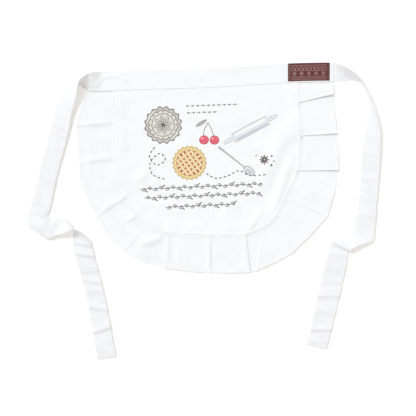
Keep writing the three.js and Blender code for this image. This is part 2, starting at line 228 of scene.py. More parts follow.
RIGHT_COURSE = table(
    "x y heading roll spread arch",
    (0, 0, 0, 0, 1, 0),
    (0.03, -0.001, -1, -5, 1, -1.5),
    (0.16, -0.006, -6, -36, 1, -4.5),
    (0.31, -0.014, -12, -60, 1, -6),
    (0.43, -0.024, -22, -77, 1, -4),
    (0.54, -0.042, -42, -87, 1, -1),
    (0.62, -0.067, -62, -88, 1, 0),
    (0.68, -0.1, -72, -87, 1, 0),
    (0.71, -0.133, -80, -76, 1, 0),
    (0.72, -0.171, -87, -56, 1, 0),
    (0.73, -0.212, -91, -39, 1, 0),
    (0.72, -0.28, -93, -22, 1, 0),
    (0.69, -0.376, -95, -14, 1, 0),
    (0.64, -0.489, -97, -12, 1.01, 0),
    (0.6, -0.553, -108, -10, 1.12, 0),
    (0.57, -0.585, -124, -14, 1.26, 0),
    (0.48, -0.598, -129, -22, 1.06, 0),
    (0.4, -0.606, -130, -33, 1, 0),
    (0.29, -0.616, -130, -36, 1, 0),
    (0.19, -0.625, -127, -24, 1, 0),
    (0.13, -0.633, -116, -5, 1.02, 0),
    (0.1, -0.65, -102, 0, 1.04, 0),
    (0.04, -0.7, -99, -4, 1.14, 0),
    (-0.12, -0.832, -101, -5, 1.14, 0),
    (-0.32, -0.995, -102, -5, 1.07, 0),
)

# Creases pressed across a tie: row is the place on its course, slant how far the crease runs along the
# tie from one edge to the other in mm, rise and spread its height and half width in mm, and fall how wide
# its far side is, as a share of its near side.
LEFT_CREASES = table(
    "row slant rise spread fall",
    (5.2, 10, 0.8, 5, 1), (9.4, 6, 1.3, 5, 0.6), (10.4, -6, 0.6, 6, 1), (11.3, 3, 0.8, 8, 0.6),
    (12.1, -4, 0.6, 6, 1), (16.4, 9, 0.9, 4, 1), (22.6, -14, 2.1, 5, 0.5), (23.6, -13, 3, 8, 0.35),
    (24.3, -6, 1.9, 8, 0.5), (24.58, -16, 2, 7, 0.5), (24.8, -3, 1.2, 8, 1), (25.16, -16, 3, 10, 0.35),
    (25.48, 3, 2.8, 9, 0.3), (25.8, -12, 1.1, 6, 1),
)
RIGHT_CREASES = table(
    "row slant rise spread fall",
    (2.4, 4, 0.6, 4, 1), (9.8, 5, 0.7, 6, 0.7), (11.2, -3, 0.9, 8, 0.5), (12.1, 4, 1, 8, 0.5),
    (12.7, -5, 0.6, 6, 1), (13.4, 3, 0.8, 6, 0.6), (19.8, 1, 4, 9, 0.2), (21.3, 4, 1.8, 7, 0.5),
    (22.1, 2, 0.9, 7, 1), (22.5, 9, 0.9, 6, 1), (22.85, 7, 2.6, 10, 0.35), (23.2, 3, 0.9, 7, 1),
    (23.55, 8, 2.6, 9, 0.35), (23.8, 2, 0.7, 5, 1),
)


# Camera and light

PHOTO_PIXEL = 1.9 * MM  # what one pixel of the photograph spans on the table
PHOTO_SIDE = 416 * PHOTO_PIXEL
PHOTO_MIDDLE = Vector((-6.84 * MM, -247.57 * MM))
LENS = 100  # mm, long enough that the standing edges hardly lean


def camera():
    data = bpy.data.cameras.new("camera")
    data.lens = LENS
    made = bpy.data.objects.new("camera", data)
    bpy.context.scene.collection.objects.link(made)
    made.location = (*PHOTO_MIDDLE, PHOTO_SIDE * LENS / data.sensor_width)
    bpy.context.scene.camera = made


def soft_sun(name, strength, colour, bearing, elevation, softness):
    """A far lamp, so that it lights the table evenly. bearing is where it stands, in degrees from +X."""
    data = bpy.data.lights.new(name, "SUN")
    data.energy = strength
    data.color = hex_colour(colour)[:3]
    data.angle = softness * DEGREES
    made = bpy.data.objects.new(name, data)
    bpy.context.scene.collection.objects.link(made)
    made.rotation_euler = (0, (90 - elevation) * DEGREES, bearing * DEGREES)


def hex_colour(code):
    """An sRGB hex value as linear red, green, blue and alpha."""
    channels = [int(code[i:i + 2], 16) / 255 for i in (1, 3, 5)]
    return (*(c / 12.92 if c <= 0.04045 else ((c + 0.055) / 1.055) ** 2.4 for c in channels), 1)


def studio():
    world = bpy.data.worlds.new("studio")
    world.use_nodes = True
    backdrop = world.node_tree.nodes["Background"]
    backdrop.inputs["Color"].default_value = hex_colour("#fffbf5")
    backdrop.inputs["Strength"].default_value = 0.73
    bpy.context.scene.world = world
    bpy.context.scene.view_settings.view_transform = "Standard"
    soft_sun("window_light", 1.52, "#f0f9ff", 135, 51, 16)


# Materials

# The Mix node's colour sockets go by number, because its other sockets share their names
COLOUR_A, COLOUR_B, COLOUR_OUT = 6, 7, 2


def set_inputs(tree, node, inputs):
    """Gives each input its value, or links it to another node's output."""
    for name, value in inputs.items():
        if isinstance(value, bpy.types.NodeSocket):
            tree.links.new(value, node.inputs[name])
        else:
            node.inputs[name].default_value = value


def add_node(tree, kind, inputs=(), **settings):
    """A shader node with its settings and links."""
    made = tree.nodes.new(kind)
    for name, value in settings.items():
        setattr(made, name, value)
    set_inputs(tree, made, dict(inputs))
    return made


def new_material(name):
    made = bpy.data.materials.new(name)
    made.use_nodes = True
    return made, made.node_tree, made.node_tree.nodes["Principled BSDF"]


def emboss(tree, shader, *layers):
    """Relief on a shader, its lowest layer first: each is a height, its depth in metres and its strength."""
    below = {}
    for height, depth, strength in layers:
        raised = {"Height": height, "Distance": depth, "Strength": strength, **below}
        below = {"Normal": add_node(tree, "ShaderNodeBump", raised).outputs[0]}
    set_inputs(tree, shader, below)


def streaks(tree, coordinates, length, width, detail=3):
    """Noise in streaks of one length and width, in metres, along the first coordinate."""
    placed = add_node(
        tree, "ShaderNodeMapping",
        {"Vector": coordinates, "Scale": (1 / length, 1 / width, 1 / width)},
    )
    return add_node(
        tree, "ShaderNodeTexNoise",
        {"Vector": placed.outputs[0], "Scale": 1.0, "Detail": detail, "Roughness": 0.5},
    ).outputs["Fac"]


def ridge_scale(pitch):
    """The scale at which a Wave Texture draws one ridge each pitch."""
    return math.pi / 10 / pitch


def plain_weave(tree, coordinates, pitch):
    """Warp and weft ridges, and the slubs of uneven yarns."""
    warp, weft = (
        add_node(
            tree, "ShaderNodeTexWave",
            {"Vector": coordinates, "Scale": ridge_scale(pitch)},
            bands_direction=direction,
        ).outputs["Fac"]
        for direction in ("X", "Y")
    )
    grid = add_node(tree, "ShaderNodeMath", {0: warp, 1: weft}, operation="ADD").outputs[0]
    crossed = add_node(
        tree, "ShaderNodeMapping", {"Vector": coordinates, "Rotation": (0, 0, 90 * DEGREES)}
    ).outputs[0]
    slubs = add_node(
        tree, "ShaderNodeMath",
        {0: streaks(tree, coordinates, 26 * MM, 1.3 * MM), 1: streaks(tree, crossed, 22 * MM, 1.6 * MM)},
        operation="ADD",
    ).outputs[0]
    return grid, slubs


def poplin(name, colour, shade, glow):
    """Bleached cotton poplin, plain-woven and pressed: matt, thin enough to let some light through, with a
    faint fuzz that catches low light.

    Its yarns lie 0.4 mm apart, too fine for the render, so the weave is drawn at 1 mm. glow is the share of
    the light that spreads inside the cloth: more where it stands up with light on both of its faces.
    """
    made, tree, shader = new_material(name)
    flat = add_node(tree, "ShaderNodeUVMap", uv_map="flat").outputs[0]
    grid, slubs = plain_weave(tree, flat, 1 * MM)
    creasing = streaks(tree, flat, 30 * MM, 19 * MM, 4)
    # The cloth turns towards its darker colour where the slubs and the creasing relief are low: partly the
    # uneven tone of the yarns, partly painted shade in the hollows of the creases.
    uneven = add_node(tree, "ShaderNodeMath", {0: slubs, 1: creasing}, operation="ADD").outputs[0]
    yarn_tone_and_crease_shade = add_node(
        tree, "ShaderNodeMapRange", {"Value": uneven, "From Min": 1.1, "From Max": 1.9}
    ).outputs[0]
    tint = add_node(
        tree, "ShaderNodeMix",
        {"Factor": yarn_tone_and_crease_shade, COLOUR_A: hex_colour(shade), COLOUR_B: hex_colour(colour)},
        data_type="RGBA",
    ).outputs[COLOUR_OUT]
    set_inputs(tree, shader, {
        "Base Color": tint,
        "Roughness": 0.88,
        "Subsurface Weight": glow,
        "Subsurface Radius": (1.0, 0.85, 0.7),
        "Subsurface Scale": 1.2 * MM,
        "Sheen Weight": 0.12,
        "Sheen Roughness": 0.45,
        "Specular IOR Level": 0.25,
    })
    emboss(tree, shader, (creasing, 0.7 * MM, 0.5), (slubs, 0.12 * MM, 0.6), (grid, 0.05 * MM, 0.6))
    return made


def sewing_thread(name, colour):
    """Spun polyester thread: a little smoother and brighter than the cloth, with a slanting twist."""
    made, tree, shader = new_material(name)
    at = add_node(tree, "ShaderNodeTexCoord").outputs["Object"]
    slanted = add_node(
        tree, "ShaderNodeMapping", {"Vector": at, "Rotation": (0, 0, 40 * DEGREES)}
    ).outputs[0]
    twist = add_node(
        tree, "ShaderNodeTexWave", {"Vector": slanted, "Scale": ridge_scale(0.5 * MM)}
    ).outputs["Fac"]
    set_inputs(tree, shader, {"Base Color": hex_colour(colour), "Roughness": 0.62, "Sheen Weight": 0.1})
    emboss(tree, shader, (twist, 0.05 * MM, 0.5))
    return made


def printed_ink(name):
    """Pigment ink heat-pressed on cotton: matt, and thin enough that pale yarns show through it."""
    made, tree, shader = new_material(name)
    ink = add_node(tree, "ShaderNodeAttribute", attribute_name="ink").outputs["Color"]
    at = add_node(tree, "ShaderNodeTexCoord").outputs["Object"]
    grid, slubs = plain_weave(tree, at, 1 * MM)
    bare = add_node(
        tree, "ShaderNodeMapRange",
        {"Value": slubs, "From Min": 0.8, "From Max": 1.4, "To Min": 0.02, "To Max": 0.2},
    ).outputs[0]
    tint = add_node(
        tree, "ShaderNodeMix",
        {"Factor": bare, COLOUR_A: ink, COLOUR_B: hex_colour("#f2f3f5")},
        data_type="RGBA",
    ).outputs[COLOUR_OUT]
    set_inputs(tree, shader, {"Base Color": tint, "Roughness": 0.8})
    emboss(tree, shader, (slubs, 0.1 * MM, 0.6), (grid, 0.05 * MM, 0.6))
    return made


def damask(name, colour, shade):
    """Polyester damask label: satin ribs along its length, with a low gloss that plain cotton lacks.

    The ribs are drawn 0.7 mm apart, three times their real spacing, so that they show.
    """
    made, tree, shader = new_material(name)
    flat = add_node(tree, "ShaderNodeUVMap", uv_map="flat").outputs[0]
    ribs, picks = (
        add_node(
            tree, "ShaderNodeTexWave",
            {"Vector": flat, "Scale": ridge_scale(pitch)},
            bands_direction=direction,
        ).outputs["Fac"]
        for direction, pitch in (("Y", 0.7 * MM), ("X", 0.9 * MM))
    )
    uneven = streaks(tree, flat, 12 * MM, 1 * MM)
    lit = add_node(tree, "ShaderNodeMath", {0: uneven, 1: ribs}, operation="MULTIPLY").outputs[0]
    tint = add_node(
        tree, "ShaderNodeMix",
        {"Factor": lit, COLOUR_A: hex_colour(shade), COLOUR_B: hex_colour(colour)},
        data_type="RGBA",
    ).outputs[COLOUR_OUT]
    set_inputs(tree, shader, {"Base Color": tint, "Roughness": 0.55, "Sheen Weight": 0.15})
    emboss(tree, shader, (ribs, 0.12 * MM, 0.8), (picks, 0.04 * MM, 0.5))
    return made


def table_top(name):
    """A matt white light table: its faint glow keeps all but the closest shadows pale."""
    made, tree, shader = new_material(name)
    at = add_node(tree, "ShaderNodeTexCoord").outputs["Object"]
    set_inputs(tree, shader, {
        "Base Color": hex_colour("#fdfcfa"),
        "Emission Color": hex_colour("#fdfbf8"),
        "Emission Strength": 0.13,
        "Roughness": 0.9,
        "Specular IOR Level": 0.1,
    })
    emboss(tree, shader, (streaks(tree, at, 0.4, 0.4), 0.2 * MM, 0.1))
    return made


# Curves and surfaces that the pieces share

def clamp(value, low=0.0, high=1.0):
    return max(low, min(high, value))


def smooth(value, low, high):
    """Eases from 0 at low to 1 at high."""
    share = clamp((value - low) / (high - low))
    return share * share * (3 - 2 * share)


def mix(a, b, share):
    return a + (b - a) * share


def hump(distance, spread):
    """A rounded rise of 1 that has faded at about two spreads away."""
    return math.exp(-((distance / spread) ** 2))


def along(rows, column, t):
    """A smooth curve through one column of a table; t counts rows from 0."""
    last = len(rows) - 1
    i = min(max(math.floor(t), 0), last - 1)
    f = t - i
    a, b, c, d = (rows[min(max(k, 0), last)][column] for k in (i - 1, i, i + 1, i + 2))
    return b + 0.5 * f * (c - a + f * (2 * a - 5 * b + 4 * c - d + f * (3 * (b - c) + d - a)))


def evenly(first, last, steps):
    return [mix(first, last, k / steps) for k in range(steps + 1)]


def band_middle(x):
    """How far up the waistband's middle line runs at x."""
    share = clamp(x / (BAND_LENGTH / 2), -1, 1)
    i = max(next(k for k, row in enumerate(BAND_LINE) if row["across"] >= share - 1e-9) - 1, 0)
    start, end = BAND_LINE[i]["across"], BAND_LINE[i + 1]["across"]
    return along(BAND_LINE, "rise", i + (share - start) / (end - start)) * BAND_WIDTH


def band_edge(x):
    """How far up the waistband's lower edge runs at x."""
    return band_middle(x) - BAND_WIDTH / 2


def skirt_point(x, y):
    """A place on the skirt, from shares of half the panel's width and of its depth."""
    return Vector((x * PANEL_WIDTH / 2, -BAND_WIDTH / 2 - y * PANEL_DEPTH, 0))


def under_band(point):
    """Keeps the skirt's outer cloth below the waistband's lower edge."""
    point.y = min(point.y, band_edge(point.x) - 0.3 * MM)
    return point


def hem_end(row):
    """Where a fold line ends on the hem."""
    angle = row["toward"] * DEGREES
    line = Vector((math.cos(angle), math.sin(angle), 0)) * row["reach"] * RUFFLE_WIDTH
    return skirt_point(row["seam_x"], row["seam_y"]) + line


HEM_ENDS = [hem_end(row) for row in FOLD_LINES]


def fold_line(t):
    """The ends of the fold line at t: on the seam, and on the hem."""
    seam = skirt_point(along(FOLD_LINES, "seam_x", t), along(FOLD_LINES, "seam_y", t))
    i = min(math.floor(t), LAST_LINE - 1)
    return under_band(seam), under_band(HEM_ENDS[i].lerp(HEM_ENDS[i + 1], t - i))


# The unevenness of pressed cotton: how high its rises are, how far apart, and their seed
UNEVENNESS = ((2.6 * MM, 52 * MM, 3.1), (1.1 * MM, 21 * MM, 7.7))

WRINKLE_LINES = [
    (skirt_point(row["x"], row["y"]), skirt_point(row["to_x"], row["to_y"]),
     row["spread"] * RUFFLE_WIDTH, row["rise"] * WRINKLE_RISE)
    for row in WRINKLES
]


def soft_noise(x, y, size, seed):
    """Smooth noise between 0 and 1, its hills a size apart."""
    return 0.5 + 0.5 * noise.noise(Vector((x / size, y / size, seed)))


def wrinkle_height(point):
    """How far the skirt's cloth stands off its bed: wrinkles, and the unevenness of pressed cotton."""
    height = 0
    for start, end, spread, rise in WRINKLE_LINES:
        run = end - start
        offset = Vector((point.x, point.y, 0)) - start
        share = offset.dot(run) / run.length_squared
        away = (offset - run * clamp(share)).length
        if away < 3 * spread:
            fade = smooth(share, -0.15, 0.3) * smooth(1 - share, -0.15, 0.3)
            height += rise * fade * hump(away, spread)
    for rise, size, seed in UNEVENNESS:
        height += rise * soft_noise(point.x, point.y, size, seed) ** 2
    return height * smooth(band_edge(point.x) - point.y, 0, BAND_SLOPE)


def ruffle_stations():
    """Stations along the strip: t counts fold lines, level counts layers up from the table, and bulge is
    how far a turn stands out past its line, as a share of the turn's radius. lip is the share of the lift
    that a pleat's top layer has at its fold."""
    stations = []

    def flat(t, level, curl, lip=0.0):
        stations.append({"t": t, "level": level, "bulge": 0.0, "curl": curl, "lip": lip})

    def softness(line):
        return smooth(1 - FOLD_LINES[line]["crisp"], 0, 0.35)

    def slip_under(line, ts, curl):
        """The bottom layer, which swells up beside a softly pressed fold before it slips under it."""
        for t in ts:
            away = (t - line) * FOLD_LINES[line]["lap"]
            swell = softness(line) * smooth(away, *SWELL_RUNS)
            flat(t, SWELL * swell, curl, 0.8 * swell * smooth(PLEAT_END - away, 0, PLEAT_END))

    def turn(t, bottom, side, upwards, curl):
        """The half turn between a layer and the one above it."""
        for k in range(TURN_STEPS + 1):
            angle = math.pi * (TURN_STEPS - k if upwards else k) / TURN_STEPS
            height = 0.5 + 0.5 * math.cos(angle)
            flat(t, bottom + height, curl, height if bottom else 0.0)
            stations[-1]["bulge"] = side * math.sin(angle)

    def span(line, start, end, level, curl, steps):
        """The top or the middle layer, between two distances from its fold line."""
        for t in evenly(line + start, line + end, steps)[1:-1]:
            nearness = 1 - abs(t - line) / LIP_RUN if level == 2 else 0
            flat(t, level, curl, smooth(nearness, 0, 1))

    def open_to(t, level, curl):
        """Open ruffle from the last station to t, bellied up between two pleats."""
        before = stations[-1]
        steps = max(1, round((t - before["t"]) / OPEN_RUN))
        for k in range(1, steps):
            share = k / steps
            crown = 0 if level + before["level"] else OPEN_CROWN * math.sin(math.pi * share)
            shown = before["curl"]
            if level:
                shown = mix(before["curl"] if before["level"] else curl, curl, share)
            flat(mix(before["t"], t, share), mix(before["level"], level, smooth(share, 0, 1)) + crown, shown)

    flat(0, 0, 0)
    for line, row in enumerate(FOLD_LINES):
        lap, curl = row["lap"], row["curl"]
        if lap > 0:
            open_to(line - PLEAT_START, 2, curl)
            flat(line - PLEAT_START, 2, curl)
            span(line, -PLEAT_START, 0, 2, curl, TOP_STEPS)
            turn(line, 1, 1, False, curl)
            span(line, 0, -PLEAT_RUN, 1, curl, MIDDLE_STEPS)
            turn(line - PLEAT_RUN, 0, -1, False, curl)
            slip_under(line, evenly(line - PLEAT_RUN, line + PLEAT_END, BOTTOM_STEPS)[1:], curl)
        elif lap < 0:
            open_to(line - PLEAT_END, SWELL * softness(line), curl)
            slip_under(line, evenly(line - PLEAT_END, line + PLEAT_RUN, BOTTOM_STEPS)[:-1], curl)
            turn(line + PLEAT_RUN, 0, 1, True, curl)
            span(line, PLEAT_RUN, 0, 1, curl, MIDDLE_STEPS)
            turn(line, 1, -1, True, curl)
            span(line, 0, PLEAT_START, 2, curl, TOP_STEPS)
            flat(line + PLEAT_START, 2, curl)
    open_to(LAST_LINE, 0, 0)
    flat(LAST_LINE, 0, 0)
    return stations


STATIONS = ruffle_stations()
TOP_STEP = 0.05


def highest_levels():
    """The ruffle's highest level at each TOP_STEP along the seam, widened and then smoothed."""
    count = int(LAST_LINE / TOP_STEP) + 1
    tops = [0.0] * count
    for a, b in zip(STATIONS, STATIONS[1:]):
        first = math.floor(min(a["t"], b["t"]) / TOP_STEP)
        last = math.ceil(max(a["t"], b["t"]) / TOP_STEP)
        for k in range(max(first, 0), min(last + 1, count)):
            tops[k] = max(tops[k], a["level"], b["level"])

    def near(levels, k):
        return levels[max(k - 3, 0):k + 4]

    wide = [max(near(tops, k)) for k in range(count)]
    return [sum(near(wide, k)) / len(near(wide, k)) for k in range(count)]


RUFFLE_TOPS = highest_levels()


SEAM_SAMPLES = 3000
seam_tree = kdtree.KDTree(SEAM_SAMPLES + 1)
for sample in range(SEAM_SAMPLES + 1):
    seam_tree.insert(fold_line(LAST_LINE * sample / SEAM_SAMPLES)[0], sample)
seam_tree.balance()


def nearest_seam(x, y):
    """The place along the seam nearest to a point, counted in fold lines, and the distance to it."""
    _, sample, distance = seam_tree.find((x, y, 0))
    return LAST_LINE * sample / SEAM_SAMPLES, distance


def ruffle_top(t):
    """The highest layer of the ruffle's heading at t, with the steps at the pleats eased."""
    place = clamp(t / TOP_STEP, 0, len(RUFFLE_TOPS) - 1.001)
    return mix(RUFFLE_TOPS[int(place)], RUFFLE_TOPS[int(place) + 1], place - int(place))


def panel_height(x, y):
    """The middle of the panel's cloth: down from the waistband and the seam to the table."""
    t, to_seam = nearest_seam(x, y)
    flat = smooth(to_seam, 1.5 * SEAM_LAP, 1.5 * SEAM_LAP + SEAM_SLOPE)
    below = smooth(band_edge(x) - y, 0, BAND_SLOPE)
    at_seam = REST + LAYER * (PANEL_OVER + ruffle_top(t) * along(FOLD_LINES, "crisp", t))
    height = mix(SLOT, mix(at_seam, REST, flat), below) + wrinkle_height(Vector((x, y, 0)))
    sunk = 0.26 * MM * sum(hump(to_seam - row, 0.9 * MM) for row in SEAM_ROWS)
    puckers = (0.35 + 0.3 * soft_noise(x, y, 7 * MM, 1.3)) * MM
    ridge = puckers * hump(to_seam - sum(SEAM_ROWS) / 2, 2.2 * MM)
    return height + (ridge - sunk) * below


def running_length(points):
    """How far along a line each of its points lies."""
    lengths = [0.0]
    for a, b in zip(points, points[1:]):
        lengths.append(lengths[-1] + (b - a).length)
    return lengths


def cloth(name, columns, rows, middle, wall, flat=None):
    """A sheet of cloth: a grid whose points middle(u, v) places, given its wall by Solidify.

    The map called flat holds each point's place on the cloth as it was cut, in metres.
    """
    bpy.ops.object.select_all(action="DESELECT")
    across, down = len(columns) - 1, len(rows) - 1
    bpy.ops.mesh.primitive_grid_add(x_subdivisions=across, y_subdivisions=down, size=1)
    piece = bpy.context.object
    piece.name = piece.data.name = name
    mesh = piece.data
    spots = [(round((v.co.x + 0.5) * across), round((v.co.y + 0.5) * down)) for v in mesh.vertices]
    places = [[middle(u, v) for v in rows] for u in columns]
    walls = [[wall(u, v) for v in rows] for u in columns]
    lengthwise = running_length([line[down // 2] for line in places])
    crosswise = running_length(places[across // 2])
    for vertex, (i, j) in zip(mesh.vertices, spots):
        vertex.co = places[i][j]
    cut = mesh.uv_layers[0]
    cut.name = "flat"
    for loop in mesh.loops:
        i, j = spots[loop.vertex_index]
        place = flat(places[i][j]) if flat else (lengthwise[i], crosswise[j])
        cut.data[loop.index].uv = place
    thickest = max(max(line) for line in walls)
    group = piece.vertex_groups.new(name="wall")
    for index, (i, j) in enumerate(spots):
        group.add([index], walls[i][j] / thickest, "REPLACE")
    solid = piece.modifiers.new("wall", "SOLIDIFY")
    solid.thickness = thickest
    solid.offset = 0
    solid.vertex_group = group.name
    bpy.ops.object.modifier_apply(modifier=solid.name)
    piece.vertex_groups.clear()
    bpy.ops.object.shade_smooth_by_angle(angle=60 * DEGREES)
    return piece


def sewn(piece, material, replaced=None):
    """Gives a finished piece its material and the body that it moves with, and hides the part that it
    replaces.
    """
    piece.data.materials.clear()
    piece.data.materials.append(material)
    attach(piece, "root")
    if replaced:
        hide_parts(replaced)
    return piece


def mesh_piece(name, points, faces):
    """A piece of stitches or ink, made from their points and faces."""
    mesh = bpy.data.meshes.new(name)
    mesh.from_pydata(points, [], faces)
    mesh.update()
    piece = bpy.data.objects.new(name, mesh)
    bpy.context.scene.collection.objects.link(piece)
    return piece


# Stitches

def stitch_shape():
    """One stitch, lying along X with a length of 1: a fat spindle with pointed ends."""
    bpy.ops.object.select_all(action="DESELECT")
    bpy.ops.mesh.primitive_uv_sphere_add(segments=6, ring_count=4, radius=0.5)
    ball = bpy.context.object
    turned = Euler((0, 90 * DEGREES, 0)).to_matrix()
    points = [turned @ v.co for v in ball.data.vertices]
    faces = [tuple(face.vertices) for face in ball.data.polygons]
    bpy.data.objects.remove(ball)
    return points, faces


STITCH_POINTS, STITCH_FACES = stitch_shape()


class Seam:
    """Rows of stitches that become one mesh."""

    def __init__(self):
        self.points = []
        self.faces = []

    def stitch(self, start, end, normal, width=THREAD):
        run = end - start
        side = normal.cross(run).normalized()
        up = run.cross(side).normalized()
        first = len(self.points)
        middle = (start + end) / 2
        for p in STITCH_POINTS:
            self.points.append(middle + run * p.x + side * (p.y * width * 1.2) + up * (p.z * width))
        self.faces += [tuple(first + i for i in face) for face in STITCH_FACES]

    def row(self, spot, pitch=STITCH_PITCH, steps=1200):
        """Stitches along spot(share), which gives a point on the cloth's face and the face's normal."""
        places = [spot(k / steps)[0] for k in range(steps + 1)]
        lengths = running_length(places)
        count = max(1, round(lengths[-1] / pitch))
        k = 0
        ends = []
        for mark in range(2 * count + 1):
            wanted = lengths[-1] * mark / (2 * count)
            while k < steps - 1 and lengths[k + 1] < wanted:
                k += 1
            part = (wanted - lengths[k]) / max(lengths[k + 1] - lengths[k], 1e-9)
            ends.append(((k + part) / steps, places[k].lerp(places[k + 1], part)))
        for number in range(count):
            (_, before), (share, centre), (_, after) = ends[2 * number:2 * number + 3]
            start, end = centre.lerp(before, STITCH_FILL), centre.lerp(after, STITCH_FILL)
            self.stitch(start, end, spot(share)[1])

    def finish(self, name, material, slot):
        piece = mesh_piece(name, self.points, self.faces)
        for face in piece.data.polygons:
            face.use_smooth = True
        return sewn(piece, material)


def on_face(middle, wall, u, v, side=1, step=0.002):
    """A point on one face of a cloth and the face's normal there, from its middle surface."""
    along_u = middle(min(u + step, 1), v) - middle(max(u - step, 0), v)
    along_v = middle(u, min(v + step, 1)) - middle(u, max(v - step, 0))
    normal = along_u.cross(along_v).normalized() * side
    return middle(u, v) + normal * (wall / 2 + 0.05 * MM), normal


# Front panel

def panel_face(x, y):
    """A point on the panel's upper face, and the normal there."""
    step = 1 * MM
    slope_x = (panel_height(x + step, y) - panel_height(x - step, y)) / (2 * step)
    slope_y = (panel_height(x, y + step) - panel_height(x, y - step)) / (2 * step)
    normal = Vector((-slope_x, -slope_y, 1)).normalized()
    return Vector((x, y, panel_height(x, y))) + normal * (CLOTH / 2), normal


def front_panel():
    def in_band(x):
        """The panel's upper edge, inside the waistband."""
        return Vector((x, band_edge(x) + BAND_LAP, 0))

    shown = (1 / 20) ** PANEL_CROWDING  # above this share the panel lies inside the waistband

    def side(v, first, last):
        """A side edge: down to the waistband's lower edge, and on along the seam."""
        start = fold_line(first)[0]
        if v < shown:
            return in_band(start.x).lerp(start, v / shown)
        return fold_line(mix(first, last, (v - shown) / (1 - shown)))[0]

    left_x, right_x = fold_line(0)[0].x, fold_line(LAST_LINE)[0].x

    def spot(u, v):
        """A place on the panel, blended from its four edges and taking off its corners."""
        top = in_band(mix(left_x, right_x, u))
        bottom = fold_line(mix(*BOTTOM_LINES, u))[0]
        left, right = side(v, 0, BOTTOM_LINES[0]), side(v, LAST_LINE, BOTTOM_LINES[1])
        corners = [in_band(left_x), in_band(right_x), side(1, 0, BOTTOM_LINES[0]),
                   side(1, LAST_LINE, BOTTOM_LINES[1])]
        point = top * (1 - v) + bottom * v + left * (1 - u) + right * u
        point -= corners[0] * ((1 - u) * (1 - v)) + corners[1] * (u * (1 - v))
        return point - corners[2] * ((1 - u) * v) - corners[3] * (u * v)

    def middle(u, v):
        point = spot(u, v)
        point.z = panel_height(point.x, point.y)
        return point

    def wall(u, v):
        point = spot(u, v)
        # Rounded at the very edge, thick where the edge is turned under
        to_seam = nearest_seam(point.x, point.y)[1]
        edge = mix(0.4, 1, smooth(to_seam, 0, 1.1 * MM))
        return edge * mix(FOLDED_HEM, CLOTH, smooth(to_seam, 6.5 * MM, 7.5 * MM))

    # The grid lies closest along the edges, where the seam's stitches sink in
    near_edge = [0, 0.0022, 0.0045, 0.008, 0.012, 0.0155, 0.018, 0.0205, 0.024, 0.028]
    inner = evenly(0.034, 0.966, 138)
    columns = near_edge + inner + [1 - share for share in reversed(near_edge)]
    near_bottom = [0.997, 0.9945, 0.99, 0.985, 0.981, 0.978, 0.975, 0.97, 0.965]
    rows = [(k / 112) ** PANEL_CROWDING for k in range(112)]
    rows = [v for v in rows if v < 0.96] + list(reversed(near_bottom)) + [1]
    piece = cloth("panel_cloth", columns, rows, middle, wall, flat=lambda point: (point.x, point.y))
    sewn(piece, panel_cotton, "front_panel")

    seam = Seam()
    for inset in SEAM_ROWS:
        def stitched(share, inset=inset):
            t = mix(0.12, LAST_LINE - 0.15, share)
            here, ahead = fold_line(t)[0], fold_line(t + 0.02)[0]
            run = (ahead - here).normalized()
            spot_in = here + Vector((-run.y, run.x, 0)) * inset
            return panel_face(spot_in.x, spot_in.y)
        seam.row(stitched)
    stitches = seam.finish("seam_stitches", white_thread, "panel_cotton")


# Ruffle

def ruffle():
    last = len(STATIONS) - 1

    def strip_line(t):
        seam, hem = fold_line(clamp(t, 0, LAST_LINE))
        heading = seam + (seam - hem).normalized() * SEAM_LAP
        return under_band(heading), hem

    def middle(u, v):
        place = u * last
        i = min(int(place), last - 1)
        a, b, share = STATIONS[i], STATIONS[i + 1], place - i
        t, level, bulge, curl, lip = (mix(a[key], b[key], share) for key in a)
        crisp = along(FOLD_LINES, "crisp", clamp(t, 0, LAST_LINE))
        before, after = strip_line(t - 0.02), strip_line(t + 0.02)
        forward = (after[0].lerp(after[1], v) - before[0].lerp(before[1], v)).normalized()
        rise = LAYER * crisp + 0.5 * curl * HEM_LIFT * v * v
        start, end = strip_line(t)
        point = start.lerp(end, v) + forward * (0.5 * bulge * rise)
        point.z = REST + level * rise + lip * LIP * crisp * crisp * mix(0.15, 1, v)
        past_seam = (end - start).length * v - SEAM_LAP
        point.z += SEAM_RIDGE * hump(past_seam - 2.2 * MM, 1.5 * MM)
        point.z += wrinkle_height(point) * mix(1, 0.2, smooth(v, 0.7, 1))
        return point

    hem = HEM_WIDTH / RUFFLE_WIDTH

    def wall(u, v):
        return mix(CLOTH, FOLDED_HEM, smooth(v, 1 - hem - 0.012, 1 - hem))

    columns = [k / last for k in range(last + 1)]
    lap = SEAM_LAP / (SEAM_LAP + RUFFLE_WIDTH)
    rows = [0, lap / 2] + evenly(lap, 2 * lap, 9) + evenly(2 * lap, 1 - hem - 0.03, 18)[1:]
    rows += [1 - hem - 0.012, 1 - hem, 1 - hem + 0.03, 0.985, 1]
    piece = cloth("ruffle_cloth", columns, rows, middle, wall)
    sewn(piece, ruffle_cotton, "ruffle")

    seam = Seam()
    for side in (1, -1):
        def stitched(share, side=side):
            """The hem's stitches show on both faces."""
            return on_face(middle, FOLDED_HEM, share, 1 - 0.8 * hem, side, 0.0006)
        seam.row(stitched, steps=3 * last)
    stitches = seam.finish("hem_stitches", white_thread, "ruffle_cotton")


# Waistband

BAND_FOLD = (BAND_FRONT - REST) / 2  # the radius of the fold along the upper edge
BAND_STRAIGHT = BAND_WIDTH - BAND_FOLD
BAND_ROUND = 2 * BAND_STRAIGHT + math.pi * BAND_FOLD
JOINT_X = 133.2 * MM  # where two lengths of waistband are sewn end to end
JOINT_ROW = JOINT_X + 2.4 * MM  # the stitches beside that seam

# The dent that the left tie's twist pulls into the band: across is a share of half the band's length, up a
# share of its width, from the band's middle line
DENT = table(
    "across up",
    (-0.95, -0.23), (-0.893, 0.18), (-0.836, 0.27), (-0.774, 0.2), (-0.704, 0.02),
)


